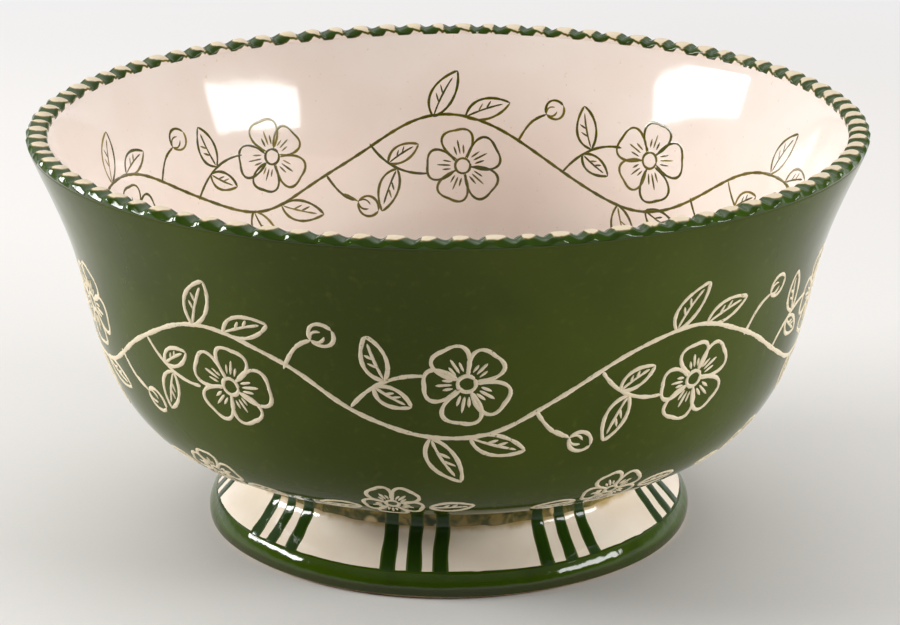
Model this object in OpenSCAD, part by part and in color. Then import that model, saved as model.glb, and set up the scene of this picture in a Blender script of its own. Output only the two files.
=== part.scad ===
// Footed stoneware bowl with a roped rim, glazed green outside and cream inside
// Millimetres, +Z up, origin on the axis at the level of the table

/* [Bowl] */
// Rim diameter over the rope
rim_d = 254; // [230:1:290]
// Height from the table to the crest of the rope
bowl_h = 126.4; // [118:0.2:140]
// Diameter of the clay wall at the belly, where the swelling curve turns into the flare
belly_d = 218.6; // [206:0.2:228]
// Height of the belly point above the table
belly_z = 70; // [64:1:76]
// Lean of the wall at the belly, in degrees from upright
belly_lean = 12.8; // [8:0.1:18]
// Lean of the lip, in degrees from upright
lip_lean = 24.4; // [18:0.1:30]
// Slope of the underside where it leaves the foot, in degrees from level
under_slope = 18.2; // [14:0.1:20]
// Clay thickness of the wall
wall_t = 5; // [4:0.1:6]
// Extra clay thickness in the heel, over the foot
heel_t = 3.5; // [2:0.1:5]
// Clay thickness of the floor at its middle
floor_t = 6; // [5:0.1:8]
// Thickness of every glaze coat
glaze_t = 0.5; // [0.3:0.05:0.8]

/* [Foot] */
// Widest diameter of the foot, over its glaze band
foot_d = 150.8; // [140:0.2:160]
// Height of the foot, up to the joint with the bowl
foot_h = 25.1; // [24:0.1:28]
// Height of the leaning face of the foot, up to its upright neck
face_h = 19.6; // [18:0.1:21]
// Clay diameter of the neck
neck_d = 126.5; // [122:0.1:130]
// Lean of the foot just above its edge, in degrees from upright
foot_lean = 5; // [2:1:10]
// Clay thickness of the foot, measured level
foot_wall_t = 7.2; // [6:0.1:8]
// Height of the upright edge at the base
edge_h = 2.4; // [2.2:0.1:3]
// Radius of the round on the base edge
edge_r = 1.6; // [1.2:0.1:2]
// Height of bare clay left under the band
bare_h = 0.9; // [0.6:0.1:1.4]
// Radius of the hollow where the inside of the foot turns into the underside
well_r = 5; // [3:0.5:8]

/* [Rope rim] */
// Number of notches pressed around the rim
notches = 88; // [72:1:100]
// Width of the rolled rim, measured along the radius
rope_w = 6.4; // [5.6:0.1:7]
// Height of the rolled rim above the lip
rope_h = 2.9; // [2.6:0.1:3.6]
// Depth of a notch below the crest
notch_depth = 1.5; // [1.4:0.1:2.1]
// Radius of the stick that presses the notches
notch_r = 2.3; // [2:0.1:2.6]
// Turn of each notch away from the radius, in degrees
notch_slant = 15; // [8:1:22]

/* [Stripes] */
// Width of a stripe around the axis, in degrees
stripe_deg = 3.4; // [2.4:0.1:4]
// Step between the stripes of a group, in degrees
stripe_step = 6.5; // [5:0.1:7]
// Stripes in a group
group_stripes = 3; // [2:1:4]
// Direction of the front group, in degrees from +X
front_group = -98.3; // [-110:0.1:-80]
// Step between the five groups at the front, in degrees
front_step = 38.8; // [36:0.1:40]
// Groups around the foot
groups = 9; // [8:1:9]
// Height of a stripe over the coat that it is painted on
stripe_t = 0.25; // [0.15:0.05:0.4]

/* [Hidden] */
$fn = 96;
clay = "#cdbb9f";
slip = "#8a7436";
green = "#36421f";
cream = "#eadccb";
dark_green = "#141c0d";

// Level of the lip, and the clay's outer radius there, a little inside the rope
lip_z = bowl_h - rope_h;
lip_inset = 0.55;
lip_r = rim_d/2 - lip_inset;
neck_r = neck_d/2;
foot_r = foot_d/2 - glaze_t;

// Reach of the curve handles: underside, below the belly, above the belly, and lip
under_pull = 0.2877*neck_r;
low_pull = 0.9645*(belly_z - foot_h);
high_pull = 0.346*(lip_z - belly_z);
lip_pull = 0.6*(lip_z - belly_z);
// Reach of the two handles of the foot's face
foot_pull = 0.352*(face_h - edge_h);
neck_pull = 0.28*(face_h - edge_h);

// Segments along the curves of the bowl, the foot and the floor
low_n = 20;
high_n = 14;
foot_n = 22;
floor_n = 8;
fillet_n = 10;
// Steps on those curves where the seam ends, and where the band gives way to the cream coat
seam_i = 2;
foot_seam_i = 20;
band_i = 6;
// How much thicker the band lies than the coat above it
band_extra = 0.3;
// Reach of the handles of the seam's fillet
fillet_pull = 3.4;

// Cubic curve through its end points p[0] and p[3], and its direction
function curve(p, t) =
    pow(1 - t, 3)*p[0] + 3*t*pow(1 - t, 2)*p[1] + 3*t*t*(1 - t)*p[2] + pow(t, 3)*p[3];
function curve_dir(p, t) =
    pow(1 - t, 2)*(p[1] - p[0]) + 2*t*(1 - t)*(p[2] - p[1]) + t*t*(p[3] - p[2]);
function from_upright(a) = [sin(a), cos(a)];

// Outer clay curve of the bowl: the underside up to the belly, then the flare up to the lip
neck_point = [neck_r, foot_h];
belly_point = [belly_d/2, belly_z];
lip_point = [lip_r, lip_z];
low_curve = [
    neck_point,
    neck_point + under_pull*from_upright(90 - under_slope),
    belly_point - low_pull*from_upright(belly_lean),
    belly_point
];
high_curve = [
    belly_point,
    belly_point + high_pull*from_upright(belly_lean),
    lip_point - lip_pull*from_upright(lip_lean),
    lip_point
];

// A point on the wall, moved inwards by d; the move turns level towards the lip
function moved(p, t, level, d) =
    let (
        dir = curve_dir(p, t),
        lean = atan2(dir[0], dir[1]),
        turn = lean*(1 - level)
    )
    curve(p, t) + d/cos(lean*level)*[-cos(turn), sin(turn)];
function low_run(i0, d, heel) = [
    for (i = [i0:low_n])
        let (t = i/low_n)
        moved(low_curve, t, 0, d + heel*pow(1 - t, 2))
];
function high_run(d) = [
    for (i = [1:high_n])
        let (t = i/high_n)
        moved(high_curve, t, t, d)
];
function wall_run(i0, d, heel = 0) = concat(low_run(i0, d, heel), high_run(d));

// The inside, from the middle of the floor up to the lip: a shallow dish, then the wall
function inside_run(d) =
    let (
        wall = wall_run(0, wall_t + d, heel_t),
        mid_z = foot_h + floor_t + d,
        edge = wall[0]
    )
    concat(
        [
            for (i = [0:floor_n - 1])
                let (u = i/floor_n)
                [u*edge[0], mid_z + (edge[1] - mid_z)*u*u]
        ],
        wall
    );

// Outer clay curve of the foot's face, from its edge up to the neck, moved level by d
foot_curve = [
    [foot_r, edge_h],
    [foot_r, edge_h] + foot_pull*from_upright(-foot_lean),
    [neck_r, face_h - neck_pull],
    [neck_r, face_h]
];
function foot_run(i0, i1, d) = [for (i = [i0:i1]) curve(foot_curve, i/foot_n) + [d, 0]];

// Hollow fillet of the seam, from the face of the foot up to the glazed underside
function unit(v) = v/norm(v);
fillet_low = curve(foot_curve, foot_seam_i/foot_n) + [glaze_t, 0];
fillet_top = moved(low_curve, seam_i/low_n, 0, -glaze_t);
fillet = [
    fillet_low,
    fillet_low + fillet_pull*unit(curve_dir(foot_curve, foot_seam_i/foot_n)),
    fillet_top - fillet_pull*unit(curve_dir(low_curve, seam_i/low_n)),
    fillet_top
];
function fillet_run(i0, i1, d) = [for (i = [i0:i1]) curve(fillet, i/fillet_n) + [d, 0]];

// Round of the base edge, moved level by d, from height z0 up
edge_n = 6;
function edge_height(a) = edge_r*(1 - cos(a));
function edge_run(z0, d) = [
    for (i = [0:edge_n])
        let (a = 90*i/edge_n)
        if (edge_height(a) >= z0)
            [foot_r - edge_r + edge_r*sin(a) + d, edge_height(a)]
];

// Inside of the foot: a cone that turns into the underside in a round hollow
base_in_r = foot_r - foot_wall_t - edge_r;
neck_in_r = neck_r - foot_wall_t;
well_lean = atan2(base_in_r - neck_in_r, foot_h);
function well_run(z0, d) =
    let (
        turn = 90 - well_lean,
        start_z = foot_h - well_r*(1 - sin(well_lean)) - d
    )
    concat(
        [[base_in_r - z0*tan(well_lean) - d, z0]],
        [
            for (i = [0:edge_n])
                let (a = turn*i/edge_n + well_lean)
                [
                    base_in_r - start_z*tan(well_lean) - d - well_r*(cos(well_lean) - cos(a)),
                    start_z + well_r*(sin(a) - sin(well_lean))
                ]
        ]
    );

function reversed(v) = [for (i = [len(v) - 1:-1:0]) v[i]];

module revolve(points) {
    rotate_extrude()
        polygon(points);
}

// A coat between two runs of the same steps
module coat(inner, outer) {
    revolve(concat(inner, reversed(outer)));
}

module bowl_wall() {
    color(clay)
        revolve(concat([[0, foot_h]], wall_run(0, 0), reversed(inside_run(0))));
}

module foot_ring() {
    color(clay)
        revolve(concat(
            edge_run(0, 0),
            foot_run(0, foot_n, 0),
            [neck_point],
            reversed(well_run(0, 0))
        ));
}

// Luting slip that fills the corner between foot and bowl with a hollow fillet
module slip_seam() {
    foot_side = foot_run(foot_seam_i, foot_n, 0);
    bowl_side = [for (i = [0:seam_i]) moved(low_curve, i/low_n, 0, 0)];
    color(slip)
        revolve(concat(foot_side, bowl_side, reversed(fillet_run(0, fillet_n, 0))));
}

// Rolled rim on the lip, flat below, with slanted round notches pressed across its crest
rope_r = rim_d/2 - rope_w/2;
rope_low = 0.5;
rope_up = rope_h - rope_low;
rope_n = 12;
function rope_point(a) = [
    rope_r + rope_w/2*cos(a),
    lip_z + rope_low + rope_up*sin(a)
];

module notch() {
    translate([rope_r, 0, bowl_h - notch_depth + notch_r])
        rotate([0, 0, notch_slant])
            rotate([0, 90, 0])
                cylinder(h = 3*rope_w, r = notch_r, center = true);
}

module rope_rim() {
    low_a = asin(rope_low/rope_up);
    sweep = 180 + 2*low_a;
    color(green)
        difference() {
            revolve([for (i = [0:rope_n]) rope_point(sweep*i/rope_n - low_a)]);
            for (i = [0:notches - 1])
                rotate(360*i/notches)
                    notch();
        }
}

module outer_glaze() {
    color(green)
        coat(wall_run(seam_i, -glaze_t), wall_run(seam_i, 0));
}

module liner_glaze() {
    color(cream)
        coat(inside_run(0), inside_run(glaze_t));
}

module foot_glaze() {
    color(cream)
        coat(foot_run(band_i, foot_seam_i, glaze_t), foot_run(band_i, foot_seam_i, 0));
}

// Green band round the base, a little thicker than the cream coat, with bare clay below
module foot_band() {
    clay_side = concat(edge_run(bare_h, 0), foot_run(0, band_i, 0));
    face = concat(edge_run(bare_h, glaze_t), foot_run(0, band_i, glaze_t));
    bead = [for (i = [0:len(face) - 1]) face[i] + [band_extra*i/(len(face) - 1), 0]];
    color(green)
        coat(bead, clay_side);
}

// One stripe, painted up the cream coat from the band and on over the lower half of the seam
stripe_top_i = 5;
function stripe_run(d) = concat(
    foot_run(band_i, foot_seam_i, glaze_t + d),
    fillet_run(1, stripe_top_i, d)
);

module stripe(direction) {
    face = stripe_run(0);
    paint = stripe_run(stripe_t);
    rotate(direction - stripe_deg/2)
        rotate_extrude(angle = stripe_deg)
            polygon(concat(paint, reversed(face)));
}

// Five groups stand at the front step, and the rest share the back evenly
front_groups = 5;
back_step = (360 - (front_groups - 1)*front_step)/(groups - front_groups + 1);
function group_direction(i) =
    let (first = front_group - front_step*(front_groups - 1)/2)
    i < front_groups
        ? first + i*front_step
        : first + (front_groups - 1)*front_step + (i - front_groups + 1)*back_step;

module foot_stripes() {
    color(dark_green)
        for (i = [0:groups - 1])
            for (k = [0:group_stripes - 1])
                stripe(group_direction(i) + (k - (group_stripes - 1)/2)*stripe_step);
}

// Coat inside the foot and over the underside of the bowl
module well_glaze() {
    color(cream)
        revolve(concat(
            well_run(bare_h, 0),
            [[0, foot_h], [0, foot_h - glaze_t]],
            reversed(well_run(bare_h, glaze_t))
        ));
}

bowl_wall();
foot_ring();
slip_seam();
rope_rim();
outer_glaze();
liner_glaze();
foot_glaze();
foot_band();
foot_stripes();
well_glaze();
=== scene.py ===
"""Looks of a footed stoneware bowl: gloss glazes, notched rope rim, striped foot, painted vine."""
import math

import bpy
import numpy as np
from mathutils import Matrix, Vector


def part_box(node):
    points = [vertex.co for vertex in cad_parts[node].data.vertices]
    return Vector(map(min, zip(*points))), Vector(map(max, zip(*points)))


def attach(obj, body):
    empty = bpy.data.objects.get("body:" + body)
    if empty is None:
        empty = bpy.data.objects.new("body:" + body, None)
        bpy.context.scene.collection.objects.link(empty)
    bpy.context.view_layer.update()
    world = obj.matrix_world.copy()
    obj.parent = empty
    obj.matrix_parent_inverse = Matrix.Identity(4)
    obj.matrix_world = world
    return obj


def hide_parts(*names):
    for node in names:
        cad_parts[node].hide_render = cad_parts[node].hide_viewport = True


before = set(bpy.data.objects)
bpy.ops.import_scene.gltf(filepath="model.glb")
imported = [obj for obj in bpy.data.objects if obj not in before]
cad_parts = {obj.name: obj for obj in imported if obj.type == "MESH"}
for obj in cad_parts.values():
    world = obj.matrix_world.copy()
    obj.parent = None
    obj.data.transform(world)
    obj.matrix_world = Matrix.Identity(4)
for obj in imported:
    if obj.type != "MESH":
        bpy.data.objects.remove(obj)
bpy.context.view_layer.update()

MM = 0.001
BODY = "root"
SEED = 41
# Seeds of the pieces' own random numbers
BAND_SEED = 11
SEAM_SEED = 12
NOTCH_SEED = 21
DEPTH_SEED = 22
SWAY_SEED = 23
RUN_SEED = 24
STRIPE_SEED = 31

# Sizes in millimetres, read from the frame
RIM_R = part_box("rope_rim")[1].x/MM
BOWL_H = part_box("rope_rim")[1].z/MM
LIP_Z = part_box("rope_rim")[0].z/MM
NECK_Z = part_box("foot_ring")[1].z/MM

# Sizes in millimetres and degrees, as in the part's source
GLAZE_T = 0.5
WALL_T = 5.0
HEEL_T = 3.5
FLOOR_T = 6.0
LIP_R = RIM_R - 0.55
LIP_LEAN = 24.4
BELLY = np.array([109.3, 70.0])
BELLY_LEAN = 12.8
UNDER_SLOPE = 18.2
NECK_R = 63.25
FOOT_R = 74.9
FOOT_LEAN = 5.0
FACE_H = 19.6
EDGE_H = 2.4
EDGE_R = 1.6
BARE_H = 0.9
BAND_EXTRA = 0.3
FILLET_PULL = 3.4
SEAM_T = 2/20
FOOT_SEAM_T = 20/22
BAND_T = 6/22
# Reach of the curve handles: underside, below the belly, above the belly, lip, foot and neck
UNDER_PULL = 0.2877*NECK_R
LOW_PULL = 0.9645*(BELLY[1] - NECK_Z)
HIGH_PULL = 0.346*(LIP_Z - BELLY[1])
LIP_PULL = 0.6*(LIP_Z - BELLY[1])
FOOT_PULL = 0.352*(FACE_H - EDGE_H)
NECK_PULL = 0.28*(FACE_H - EDGE_H)

# How the coats end: over what height the outside draws in to the rope, and the ends hidden under it
TUCK_H = 8.0
OUTER_TUCK = np.array([[-0.3, 0.3]])
LINER_TUCK = np.array([[0.25, 0.25], [0.6, 0.5]])
# Share of the foot's curve over which the band rounds off, and how deep its end lies in the cream
BEAD_T = 0.03
BEAD_SINK = 0.04
# How far the cream of the foot runs on under the band, as a share of its curve, and under the seam
UNDER_BAND_T = 0.06
UNDER_SEAM = 0.4
# How far the edges of the band and of the seam waver, and the height and depth of the seam's glaze
BAND_WAVER = 0.22
SEAM_WAVER = 0.35
SEAM_RISE = 0.12
SEAM_SINK = 0.04

# The rope rim; places across it run from -1 inside to 1 outside
NOTCHES = 88
ROPE_W = 6.4
ROPE_R = RIM_R - ROPE_W/2
HALF_PITCH = math.pi*ROPE_R/NOTCHES
NOTCH_DEPTH = 1.4
NOTCH_R = 2.3
NOTCH_JITTER = 0.09
# A notch is round up to a share of its radius, and rises straight at a slope beyond
ROUND_SHARE = 0.98
BEYOND_SLOPE = 3
# Sideways run of a notch for each millimetre out and in from the crest, and its hook further in
LEAN_OUT = 0.3
LEAN_IN = 0.12
HOOK_LEAN = 1.3
HOOK_START = 2.6
# Fall of the domed crest, and of a notch, from the middle of the rope to its two sides
DOME = 1.25
DOME_POWER = 2.2
SPILL_OUT = 0.4
SPILL_IN = 1.0
SPILL_START = 0.25
# Slow rise and fall of the crest round the rim
CREST_SWAY = 0.05
# Outer edge of the rope: where the bevel starts across a pad and a notch, its lean and lowest place
PAD_EDGE = 0.94
NOTCH_EDGE = 0.78
BEVEL_LEAN = math.tan(math.radians(30))
BEVEL_Z = LIP_Z + 0.3
# Distances from a notch, in its radii, where its bevel ends and over which it turns into a pad's
GROOVE_END = 1.9
GROOVE_FADE = 0.7
# Inside, the crest ends across the rope, and the flank starts and ends below the crest and the lip
CREST_END = -0.9
INSIDE_DROP = 0.3
INSIDE_END = 0.6
# Softening by the glaze: blend of crest and notch, and smoothing passes round and across the rim
GLAZE_BLEND = 0.9
ROUND_PASSES = 4
ACROSS_PASSES = 2
# Below the bevel the flank carries on the wall: height where it turns upright, lean, and hidden end
FLANK_Z = LIP_Z + 0.62
FLANK_LEAN = math.tan(math.radians(LIP_LEAN))
FLANK_TUCK = 0.2
# A notch falls steeply on one side and gently on the other, as the strands of a rope do
STEEP = 0.65
GENTLE = 2 - STEEP
# A worn pad of the rope: its fall to both ends, half its length, its middle and its reach both ways
PAD_ROUND = 0.35
PAD_HALF = 2.5
PAD_MIDDLE = 0.7
PAD_OUT = 3.3
PAD_IN = 2.8
# Green runs on the inside of the rope: start, fall, lean, and length behind and ahead
RUN_START = 3.6
RUN_FALL = 1.3
RUN_LEAN = 3.4
RUN_TAIL = 7.0
RUN_HEAD = 1.6

# The foot stripes, as directions of the groups in degrees from +X
FRONT_GROUPS = (-175.9, -137.3, -98.3, -59.5, -21.0)
BACK_GROUPS = 4
GROUP_STRIPES = 3
STRIPE_STEP = 6.5
STRIPE_DEG = 3.9
STRIPE_H = 0.22
# Where a stripe starts under the band and ends over the seam, and how deep its edges lie
STRIPE_UNDER = 0.5
STRIPE_OVER = 4.6
STRIPE_SINK = 0.05
# How a stripe's path sways, in degrees, and how ragged its edges are
STRIPE_SWAY = 0.28
STRIPE_RAG = 0.06

# Rows of points round the coats, round the wavering edges, and from one notch to the next
COAT_TURNS = 480
EDGE_TURNS = 720
NOTCH_TURNS = 22


def seeded(piece):
    """Random numbers of one piece, the same on each run."""
    return np.random.default_rng(SEED + piece)


# Outlines in millimetres, as rows of radius and height
def upright(degrees):
    """Unit direction that leans outwards from upright."""
    a = math.radians(degrees)
    return np.array([math.sin(a), math.cos(a)])


def cubic(p, t):
    """Points of a cubic curve with end points p[0] and p[3]."""
    t = np.asarray(t, float)[:, None]
    return (1 - t)**3*p[0] + 3*t*(1 - t)**2*p[1] + 3*t*t*(1 - t)*p[2] + t**3*p[3]


def cubic_dir(p, t):
    """Directions along the same curve."""
    t = np.asarray(t, float)[:, None]
    return (1 - t)**2*(p[1] - p[0]) + 2*t*(1 - t)*(p[2] - p[1]) + t*t*(p[3] - p[2])


NECK = np.array([NECK_R, NECK_Z])
LIP = np.array([LIP_R, LIP_Z])
LOW_CURVE = (
    NECK,
    NECK + UNDER_PULL*upright(90 - UNDER_SLOPE),
    BELLY - LOW_PULL*upright(BELLY_LEAN),
    BELLY,
)
HIGH_CURVE = (
    BELLY,
    BELLY + HIGH_PULL*upright(BELLY_LEAN),
    LIP - LIP_PULL*upright(LIP_LEAN),
    LIP,
)
FOOT_EDGE = np.array([FOOT_R, EDGE_H])
WAIST = np.array([NECK_R, FACE_H])
FOOT_CURVE = (
    FOOT_EDGE,
    FOOT_EDGE + FOOT_PULL*upright(-FOOT_LEAN),
    WAIST - NECK_PULL*upright(0),
    WAIST,
)


def shifted(p, t, level, d):
    """Points of a wall curve moved inwards by d; the move turns level towards the lip."""
    t = np.asarray(t, float)
    along = cubic_dir(p, t)
    lean = np.arctan2(along[:, 0], along[:, 1])
    turn = lean*(1 - level)
    reach = d/np.cos(lean*level)
    return cubic(p, t) + np.stack([-reach*np.cos(turn), reach*np.sin(turn)], axis=1)


def wall_outline(t0, d, heel=0.0):
    """Outline of the wall moved inwards by d, and by a heel more over the foot."""
    low_t = np.linspace(t0, 1, 90)
    high_t = np.linspace(0, 1, 70)[1:]
    low = shifted(LOW_CURVE, low_t, np.zeros_like(low_t), d + heel*(1 - low_t)**2)
    high = shifted(HIGH_CURVE, high_t, high_t, d)
    return np.concatenate([low, high])


def softened(outline, passes):
    """Rounds small corners of an outline and keeps its ends."""
    for _ in range(passes):
        inner = 0.25*outline[:-2] + 0.5*outline[1:-1] + 0.25*outline[2:]
        outline = np.concatenate([outline[:1], inner, outline[-1:]])
    return outline


def flank_radius(z):
    """Outer radius of the rope below its bevel."""
    return RIM_R - FLANK_LEAN*np.maximum(0, FLANK_Z - z)


def outer_outline():
    """Glazed outside from the seam up, drawn in near the top to meet the rope."""
    wall = wall_outline(SEAM_T, -GLAZE_T)
    near = np.clip((wall[:, 1] - LIP_Z + TUCK_H)/TUCK_H, 0, 1)
    wall[:, 0] -= (wall[-1, 0] - flank_radius(LIP_Z))*near*near
    return np.concatenate([wall, wall[-1] + OUTER_TUCK])


def liner_outline():
    """Glazed inside from under the rope down the wall to the middle of the floor."""
    wall = wall_outline(0, WALL_T + GLAZE_T, HEEL_T)
    mid_z = NECK_Z + FLOOR_T + GLAZE_T
    u = np.linspace(0.001, 1, 60)[:-1]
    edge = wall[0]
    floor = np.stack([u*edge[0], mid_z + (edge[1] - mid_z)*u*u], axis=1)
    return softened(np.concatenate([floor, wall, wall[-1] + LINER_TUCK])[::-1], 6)


def fillet_outline(t):
    """Hollow curve of the seam, from the neck of the foot to the underside of the bowl."""
    low = cubic(FOOT_CURVE, [FOOT_SEAM_T])[0] + [GLAZE_T, 0]
    low_dir = cubic_dir(FOOT_CURVE, [FOOT_SEAM_T])[0]
    top = shifted(LOW_CURVE, [SEAM_T], np.zeros(1), -GLAZE_T)[0]
    top_dir = cubic_dir(LOW_CURVE, [SEAM_T])[0]
    handles = (
        low,
        low + FILLET_PULL*low_dir/np.hypot(*low_dir),
        top - FILLET_PULL*top_dir/np.hypot(*top_dir),
        top,
    )
    return cubic(handles, t)


def face_outline(t0, t1, count):
    """Glazed face of the foot between two places on its curve."""
    return cubic(FOOT_CURVE, np.linspace(t0, t1, count)) + [GLAZE_T, 0]


def band_outline():
    """Band from the bare clay up, thickening to a soft bead that ends on the cream coat."""
    a = np.radians(np.linspace(0, 90, 14))
    turn = np.stack([FOOT_R - EDGE_R + EDGE_R*np.sin(a), EDGE_R*(1 - np.cos(a))], axis=1)
    turn = turn[turn[:, 1] >= BARE_H] + [GLAZE_T, 0]
    face = face_outline(0, BAND_T, 26)
    outline = np.concatenate([turn, face])
    swell = np.linspace(0, 1, len(outline))
    outline[:, 0] += BAND_EXTRA*swell
    end = face_outline(BAND_T, BAND_T + BEAD_T, 6)
    drop = np.cos(np.linspace(0, math.pi/2, 7))[1:]
    end[:, 0] += BAND_EXTRA*drop - BEAD_SINK*(1 - drop)
    return np.concatenate([outline, end])


# Waviness of the glazed surfaces: waves, their turns round the axis, their rate, and the calm middle
WAVES = 5
WAVE_TURNS = (2, 11)
WAVE_RATE = 0.12
CALM_R = 30


class Skin:
    """A revolved surface with a hand-made waviness; v runs along its outline in millimetres."""

    def __init__(self, outline, depth, seed):
        step = np.hypot(*np.diff(outline, axis=0).T)
        self.v = np.concatenate([[0.0], np.cumsum(step)])
        self.length = self.v[-1]
        self.outline = outline
        slope = np.gradient(outline, self.v, axis=0)
        slope /= np.hypot(*slope.T)[:, None]
        self.normal = np.stack([slope[:, 1], -slope[:, 0]], axis=1)
        draw = seeded(seed)
        self.turns = draw.integers(*WAVE_TURNS, WAVES)
        self.rates = draw.uniform(-WAVE_RATE, WAVE_RATE, WAVES)
        self.phases = draw.uniform(0, 2*math.pi, WAVES)
        self.depth = depth/WAVES**0.5

    def radius(self, v):
        return np.interp(v, self.v, self.outline[:, 0])

    def height(self, v):
        return np.interp(v, self.v, self.outline[:, 1])

    def at_height(self, z):
        """Distance along an outline that rises all the way, at height z."""
        return float(np.interp(z, self.outline[:, 1], self.v))

    def wave(self, theta, v):
        """Waviness in millimetres, which dies out towards the axis."""
        total = np.zeros(np.broadcast(theta, v).shape)
        for turns, rate, phase in zip(self.turns, self.rates, self.phases):
            total += np.cos(turns*theta + rate*v + phase)
        return self.depth*total*np.clip(self.radius(v)/CALM_R, 0, 1)**2

    def points(self, theta, v, lift=0.0):
        """Places in metres, lifted off the surface by millimetres."""
        off = lift + self.wave(theta, v)
        r = self.radius(v) + off*np.interp(v, self.v, self.normal[:, 0])
        z = self.height(v) + off*np.interp(v, self.v, self.normal[:, 1])
        return np.stack([r*np.cos(theta), r*np.sin(theta), z + 0*theta], axis=-1)*MM


def foot_outline():
    """Face of the foot from a little under the band's edge up, and on along the seam."""
    face = face_outline(BAND_T - UNDER_BAND_T, FOOT_SEAM_T, 60)
    return np.concatenate([face, fillet_outline(np.linspace(0, 1, 40))[1:]])


OUTER = Skin(outer_outline(), depth=0.10, seed=1)
LINER = Skin(liner_outline(), depth=0.16, seed=2)
FACE = Skin(foot_outline(), depth=0.1, seed=3)
BAND = Skin(band_outline(), depth=0.1, seed=3)
FACE_SEAM_Z = float(cubic(FOOT_CURVE, [FOOT_SEAM_T])[0][1])


# Meshes
def mesh_object(name, points, faces, **attributes):
    """Smooth mesh in the scene, with named numbers for its points."""
    mesh = bpy.data.meshes.new(name)
    mesh.from_pydata(points.tolist(), [], faces.tolist())
    mesh.polygons.foreach_set("use_smooth", np.ones(len(faces), bool))
    for label, values in attributes.items():
        layer = mesh.attributes.new(label, "FLOAT", "POINT")
        layer.data.foreach_set("value", np.ascontiguousarray(values, np.float32).ravel())
    mesh.update()
    obj = bpy.data.objects.new(name, mesh)
    bpy.context.collection.objects.link(obj)
    return obj


def grid_faces(rows, columns, closed):
    """Quads over a grid of points; a closed grid joins its last row to its first."""
    i = np.arange(rows if closed else rows - 1)[:, None]
    j = np.arange(columns - 1)[None, :]
    here = i*columns + j
    there = (i + 1) % rows*columns + j
    return np.stack([here, there, there + 1, here + 1], axis=-1).reshape(-1, 4)


def revolved(name, skin, turns, v, lift=0.0):
    """Closed ring of a skin; v holds one value for each column, or one for each point."""
    theta = np.linspace(0, 2*math.pi, turns, endpoint=False)[:, None]
    points = skin.points(theta, v, lift)
    faces = grid_faces(turns, points.shape[1], True)
    return mesh_object(name, points.reshape(-1, 3), faces)


def place(obj, material, slot, *nodes):
    """Gives a piece its material and body, and hides the nodes that it stands for; the slot is not
    used.
    """
    obj.data.materials.clear()
    obj.data.materials.append(material)
    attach(obj, BODY)
    if nodes:
        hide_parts(*nodes)


# Materials
def srgb(*levels):
    """Linear colour of sRGB levels from 0 to 255."""
    values = [c/255 for c in levels]
    return tuple(c/12.92 if c <= 0.04045 else ((c + 0.055)/1.055)**2.4 for c in values) + (1.0,)


class Nodes:
    """A node tree built up by short calls; its textures read one kind of coordinates."""

    def __init__(self, tree, coordinates):
        self.tree = tree
        self.where = self.node("ShaderNodeTexCoord").outputs[coordinates]

    def node(self, kind, **settings):
        made = self.tree.nodes.new(kind)
        for key, value in settings.items():
            setattr(made, key, value)
        return made

    def feed(self, value, socket):
        """Links an output to a socket, or sets the socket to a plain value."""
        if isinstance(value, bpy.types.NodeSocket):
            self.tree.links.new(value, socket)
        else:
            socket.default_value = value

    def axis(self, letter):
        """One coordinate of the place."""
        split = self.node("ShaderNodeSeparateXYZ")
        self.feed(self.where, split.inputs[0])
        return split.outputs[letter]

    def combine(self, a, b, operation="ADD"):
        """Sum of two numbers, or the result of another operation on them."""
        made = self.node("ShaderNodeMath", operation=operation)
        self.feed(a, made.inputs[0])
        self.feed(b, made.inputs[1])
        return made.outputs[0]

    def ramp(self, value, start, end, low, high, kind="LINEAR"):
        """Number that goes from low to high while a value goes from start to end."""
        made = self.node("ShaderNodeMapRange", interpolation_type=kind)
        self.feed(value, made.inputs["Value"])
        labels = ("From Min", "From Max", "To Min", "To Max")
        for label, number in zip(labels, (start, end, low, high)):
            made.inputs[label].default_value = number
        return made.outputs["Result"]

    def shown(self):
        """1 on rays that show the background: from the camera, off gloss and through glass."""
        path = self.node("ShaderNodeLightPath").outputs
        rays = self.combine(path["Is Camera Ray"], path["Is Glossy Ray"], "MAXIMUM")
        return self.combine(rays, path["Is Transmission Ray"], "MAXIMUM")


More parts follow.
